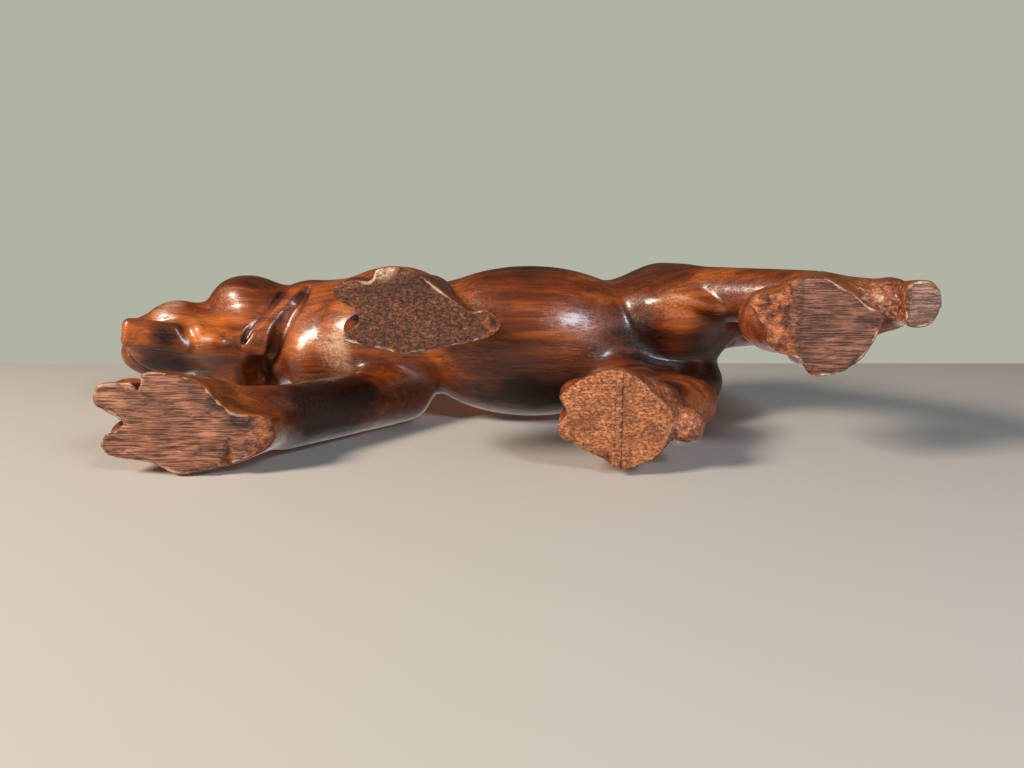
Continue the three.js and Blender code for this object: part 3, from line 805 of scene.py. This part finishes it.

# Places in the drawing where the varnish is made darker or paler: middle, radius and how much. They are partly
# the wood's own stain and partly painted light: painted shade under the jaw, on the forearm below the head, on
# the belly and thighs near the surface and along the top edges, and painted highlights on the chest, the
# throat bump, the chin and the thigh ridge
STAINS_AND_PAINTED_LIGHT = [
    ((29, -1, 38), 12, -0.24),
    ((34, 10, 30), 12, -0.32),
    ((-42, 12, 20), 20, -0.42),
    ((-27, 14, 38), 10, -0.24),
    ((2, -14, 48), 22, -0.2),
    ((-4, 16, 36), 20, -0.26),
    ((16, 14, 34), 16, -0.26),
    ((-30, -14, 50), 12, -0.14),
    ((36, -14, 50), 18, -0.14),
    ((-70, -12, 56), 12, -0.1),
    ((-79, -2.2, 37.5), 5, -0.42),
    ((-82, 7, 42), 9, -0.4),
    ((-48, 0, 41), 8, 0.2),
    ((-72, -2, 42), 9, 0.24),
    ((-88, 0, 38), 7, 0.14),
    ((38, -8, 34), 8, 0.14),
    ((34, -14, 38), 10, -0.16),
    ((44, 4, 38), 11, -0.26),
    ((31, 4, 9), 7, -0.3),
    ((-62, -12, 51), 9, -0.16),
    ((-48, -3, 42), 7, -0.08),
    ((-34, 10, 25), 9, -0.14),
]

# Painted highlights: places where the varnish is painted pale where the chest facet and the nose's top catch
# the light. Middle, radius and how much
PAINTED_HIGHLIGHTS = [
    ((-41, 0.8, 37.3), 5.5, 0.55),
    ((-39.6, 3.6, 37), 4.5, 0.45),
    ((-83.4, -7.4, 48.6), 5, 0.4),
]

# Places where the surface is rubbed through or left rough, and some where a highlight is painted as paler
# rough wood: the chest facet, the nose's top and the left hind toe's rim. Middle, radius and how much of it
# shows
WEAR_AND_SHEEN_PLACES = [
    ((32.5, 10.5, 2.5), 6, 0.9),
    ((27, 5, 4), 7, 0.6),
    ((68, -12.5, 5), 8, 0.9),
    ((-41, 3.9, 37.7), 5, 0.75),
    ((36, -10, 33), 6, 0.4),
    ((45.3, -12.7, 4), 5, 0.5),
    ((-70, -9.4, 48.4), 5, 0.35),
    ((-84, -7, 48), 5, 0.3),
    ((-49, 13, 4), 5, 0.7),
    ((-27, 12, 36), 6, 0.25),
]


def by_foot(tree, along, key):
    """The value or colour of the foot that a place belongs to."""
    stops = []
    for sole in SOLES:
        value = sole[key]
        stops.append((sole["start"], value if isinstance(value, tuple) else (value,) * 3))
    return tree.ramp((along - SOLES_FRONT) / SOLES_LENGTH, stops, "CONSTANT")


def tiger_wood(colours, shift):
    """Varnished hardwood with its grain along the body, bare and rough where it is sawn or broken."""
    tree = Tree("Tiger wood")
    where = tree.place(move=(-shift[0], -shift[1], 0))
    bare = tree.attribute("cut").between(0.12, 0.3)
    varnished, grain = varnished_wood(tree, where, colours)
    sawn, pores = sawn_wood(tree, where, colours)
    wear_and_sheen = 0
    # Wear, and painted highlights where the chest facet, the nose and the left hind toe's rim catch the light
    for middle, radius, amount in WEAR_AND_SHEEN_PLACES:
        wear_and_sheen = wear_and_sheen + tree.ball(where, middle, radius * 0.35, radius) * amount
    wear_and_sheen = wear_and_sheen * tree.noise(where, 0.6, 4, 0.65).between(0.36, 0.52)
    crumbs = tree.noise(where, 1.5, 4, 0.65)
    varnished = tree.mix(wear_and_sheen.math("MINIMUM", 0.85), varnished, tree.ramp(crumbs, WEAR_AND_SHEEN_WOOD))
    colour = tree.mix(bare, varnished, sawn)
    dents = tree.noise(where, 0.4, 2, 0.5)
    height = (grain * 0.3 + dents * 1.2) * (1 - bare) - pores * bare * 1.2 + crumbs * wear_and_sheen * 2
    relief = tree.bump(height, 0.9, 0.13)
    rubbed = tree.split(where)[1].between(5, 13)
    roughness = 0.32 + grain * 0.16 + bare * 0.4 + wear_and_sheen * 0.2 + rubbed * 0.1
    coat = (0.28 - bare * 0.28 - wear_and_sheen * 0.18) * (1 - rubbed * 0.8)
    return tree.finish(Base_Color=colour, Roughness=roughness, Coat_Weight=coat, Coat_Roughness=0.19,
                       Specular_IOR_Level=0.36, Normal=relief)


def varnished_wood(tree, where, colours):
    """Colour and fine grain of the stained and varnished wood, with painted shade in hollows and painted
    highlights on edges and in set places.
    """
    streaks = tree.noise(tree.place((0.03, 0.36, 0.36)), 1.0, 4, 0.62, 0.5)
    lines = tree.noise(tree.place((0.07, 2.4, 2.4)), 1.0, 3, 0.65, 0.2)
    patches = tree.noise(where, 0.05, 3, 0.55)
    tone = streaks * 0.75 + patches * 0.55 - 0.13
    # Painted shade and painted highlights, with some of the wood's own stain
    for middle, radius, amount in STAINS_AND_PAINTED_LIGHT:
        tone = tone + tree.ball(where, middle, radius * 0.2, radius) * amount
    # Painted shade: the wood is darker in hollows, where much wood stands around
    tone = tone - tree.attribute("hollow").between(0.15, 0.9) * 0.3
    # Painted highlight: the wood is paler on edges, where little wood lies behind
    tone = tone + tree.attribute("edge").between(0.3, 0.8) * 0.18
    colour = tree.ramp(tone, [(0.2, colours.dark), (0.48, colours.middle), (0.8, colours.light)])
    ragged = streaks.between(0.3, 0.6)
    # Painted highlights: the varnish turns pale where the chest facet and the nose's top catch the light
    for middle, radius, amount in PAINTED_HIGHLIGHTS:
        share = tree.ball(where, middle, radius * 0.1, radius) * ragged * amount
        colour = tree.mix(share, colour, colours.chipped)
    grain = lines.between(0.5, 0.68)
    return tree.mix(grain * 0.6, colour, colours.dark), grain


def sawn_wood(tree, where, colours):
    """Colour and pores of the bare wood, which differs from foot to foot, with pale broken rims."""
    along, _, height = tree.split(where)
    fine = tree.noise(tree.place((0.14, 4.6, 4.6), turn=(0, 0, 0.03)), 1.0, 2, 0.6, 0.3)
    broad = tree.noise(tree.place((0.25, 1.8, 1.8)), 1.0, 3, 0.7, 0.4)
    pitted = tree.noise(tree.place((1.5, 2.3, 2.3)), 1.0, 5, 0.75, 0.5)
    grain = tree.value_mix(by_foot(tree, along, "short grain"), fine * 0.55 + broad * 0.45, pitted)
    pores = grain.between(0.42, 0.62)
    dark = by_foot(tree, along, "dark")
    colour = tree.mix(pores, by_foot(tree, along, "light"), dark)
    shade = tree.noise(where, 0.16, 4, 0.65).between(0.35, 0.7)
    colour = tree.mix(shade * 0.6, colour, dark)
    flecks = (1 - pitted.between(0.26, 0.34)) * tree.noise(where, 0.3, 2, 0.5).between(0.4, 0.6)
    colour = tree.mix(flecks * by_foot(tree, along, "flecks"), colour, colours.chipped)
    for place, width, depth in SOLE_CRACKS:
        crack = 1 - (along + pitted * 1.2 - place - 0.6).math("ABSOLUTE").between(width * 0.2, width)
        colour = tree.mix(crack * pitted.between(0.35, 0.5) * depth, colour, colours.dark)
    # Painted shade: dark patches where the right front sole meets its chipped facet
    notch_shade = 0
    for middle, radius in NOTCH_SHADES:
        notch_shade = notch_shade + tree.ball(where, middle, 1.2, radius)
    colour = tree.mix((notch_shade * broad.between(0.3, 0.42)).math("MINIMUM", 0.85), colour, colours.dark)
    broken = height.between(0.3, 0.8)
    colour = tree.mix(broken * 0.85, colour, tree.ramp(tree.noise(where, 0.55, 5, 0.7), BROKEN_WOOD))
    width = tree.noise(where, 0.2, 3, 0.6).between(0.4, 0.66)
    rim = (1 - (tree.attribute("cut") / (width * 0.9 + 0.05)).between(0.35, 1.0)) * width.between(0.05, 0.3)
    rim = rim * by_foot(tree, along, "rim") * (1 - broken)
    patch = tree.ball(where, PALE_CORNER, 1.6, 3.4) * pitted.between(0.4, 0.55)
    return tree.mix((rim + patch * 0.8).math("MINIMUM", 1), colour, colours.chipped), pores


# Stage: lights stand at these places from the middle of the carving's box, and all face it

LIGHTS = [
    {"name": "Window", "place": (0.2, -0.22, -0.33), "size": (0.09, 0.07), "power": 1.1,
     "colour": (0.8, 0.9, 1)},
    {"name": "Fill", "place": (0.35, -0.1, -0.3), "size": (0.3, 0.3), "power": 0.5,
     "colour": (1, 0.95, 0.9)},
    {"name": "Back", "place": (0.0, 0.3, 0.5), "size": (0.5, 0.4), "power": 9.0,
     "colour": (1, 0.96, 0.92)},
]
KEY_PLACE = (-0.36, -0.28, -0.26)
KEY_SIZE = (0.14, 0.14)
KEY_COLOUR = (1, 0.86, 0.7)
ROOM_COLOUR = (0.44, 0.45, 0.365, 1)
ROOM_LIGHT = 0.2  # how much of the room's brightness falls on the carving
SURFACE_WIDTH = 1.2
SURFACE_NEAR = -0.3  # ends of the surface along Z
SURFACE_FAR = 0.124
CAMERA_PLACE = (0.00953, -0.02626, -0.1378)
CAMERA_TILT = math.radians(11.47)  # towards the surface
CAMERA_LENS = 27.04
CAMERA_SENSOR = 36


class SetStage(bpy.types.Operator):
    """Set up the plain surface, the lights and the camera"""

    bl_idname = "tiger.stage"
    bl_label = "Set up the stage"

    def execute(self, context):
        scene = context.scene
        colours = scene.tiger_stage
        low, high = (Vector(corner) for corner in CAD_BOX)
        middle = (low + high) / 2
        lay_surface(high.y, colours.floor)
        scene.world = pale_room()
        area_light("Key", KEY_PLACE, middle, KEY_SIZE, colours.key_power, KEY_COLOUR)
        for light in LIGHTS:
            area_light(light["name"], light["place"], middle, light["size"], light["power"], light["colour"])
        scene.camera = photo_camera()
        scene.view_settings.view_transform = "Standard"
        return {"FINISHED"}


def pale_room():
    """Surroundings that the camera sees brighter than they light the carving."""
    world = bpy.data.worlds.new("Pale room")
    world.use_nodes = True
    nodes, links = world.node_tree.nodes, world.node_tree.links
    seen = nodes.new("ShaderNodeLightPath").outputs["Is Camera Ray"]
    strength = nodes.new("ShaderNodeMapRange")
    strength.inputs["To Min"].default_value = ROOM_LIGHT
    links.new(seen, strength.inputs["Value"])
    nodes["Background"].inputs["Color"].default_value = ROOM_COLOUR
    links.new(strength.outputs[0], nodes["Background"].inputs["Strength"])
    return world


def lay_surface(level, colour):
    """A pale surface beside the carving's right flank, seen only from the carving's side."""
    mesh = bpy.data.meshes.new("surface")
    side = SURFACE_WIDTH / 2
    corners = [(-side, level, SURFACE_NEAR), (side, level, SURFACE_NEAR), (side, level, SURFACE_FAR),
               (-side, level, SURFACE_FAR)]
    mesh.from_pydata(corners, [], [(0, 1, 2, 3)])
    surface = bpy.data.objects.new("surface", mesh)
    bpy.context.scene.collection.objects.link(surface)
    tree = Tree("Pale surface")
    tree.finish(Base_Color=(*colour, 1), Roughness=0.75)
    behind = tree.node("ShaderNodeNewGeometry", output="Backfacing")
    clear = tree.node("ShaderNodeBsdfTransparent")
    front = Socket(tree, tree.shader.outputs[0])
    both = tree.node("ShaderNodeMixShader", {}, {0: behind, 1: front, 2: clear})
    tree.links.new(both.link, tree.nodes["Material Output"].inputs["Surface"])
    mesh.materials.append(tree.material)
    surface.visible_shadow = False


def area_light(name, offset, target, size, power, colour):
    """A rectangular light that stands off its target and faces it."""
    light = bpy.data.lights.new(name, "AREA")
    light.shape = "RECTANGLE"
    light.size, light.size_y = size
    light.energy = power
    light.color = colour
    lamp = bpy.data.objects.new(name, light)
    lamp.location = target + Vector(offset)
    lamp.rotation_euler = Vector(offset).to_track_quat("Z", "Y").to_euler()
    bpy.context.scene.collection.objects.link(lamp)


def photo_camera():
    """The camera close in front of the soles, looking along the legs and a little towards the surface."""
    camera = bpy.data.cameras.new("Photo camera")
    camera.lens = CAMERA_LENS
    camera.sensor_width = CAMERA_SENSOR
    camera.clip_start = 0.005
    holder = bpy.data.objects.new("Photo camera", camera)
    cosine, sine = math.cos(CAMERA_TILT), math.sin(CAMERA_TILT)
    turn = Matrix(((1, 0, 0), (0, -cosine, sine), (0, -sine, -cosine))).transposed().to_4x4()
    holder.matrix_world = Matrix.Translation(CAMERA_PLACE) @ turn
    bpy.context.scene.collection.objects.link(holder)
    return holder


class TigerPanel(bpy.types.Panel):
    """Lists the steps and their settings"""

    bl_idname = "VIEW3D_PT_carved_tiger"
    bl_label = "Carved Tiger"
    bl_space_type = "VIEW_3D"
    bl_region_type = "UI"
    bl_category = "Tiger"

    def draw(self, context):
        layout = self.layout
        for settings in (context.scene.tiger_carving, context.scene.tiger_finish, context.scene.tiger_stage):
            for key in settings.bl_rna.properties.keys():
                if key not in {"rna_type", "name"}:
                    layout.prop(settings, key)
        for operator in (CarveTiger, SetStage):
            layout.operator(operator.bl_idname)


CLASSES = (CarvingSettings, FinishSettings, StageSettings, CarveTiger, SetStage, TigerPanel)


def register():
    for one in CLASSES:
        bpy.utils.register_class(one)
    bpy.types.Scene.tiger_carving = bpy.props.PointerProperty(type=CarvingSettings)
    bpy.types.Scene.tiger_finish = bpy.props.PointerProperty(type=FinishSettings)
    bpy.types.Scene.tiger_stage = bpy.props.PointerProperty(type=StageSettings)


def unregister():
    del bpy.types.Scene.tiger_carving, bpy.types.Scene.tiger_finish, bpy.types.Scene.tiger_stage
    for one in reversed(CLASSES):
        bpy.utils.unregister_class(one)


def main():
    register()
    bpy.ops.tiger.carve()
    bpy.ops.tiger.stage()


if __name__ == "__main__":
    main()
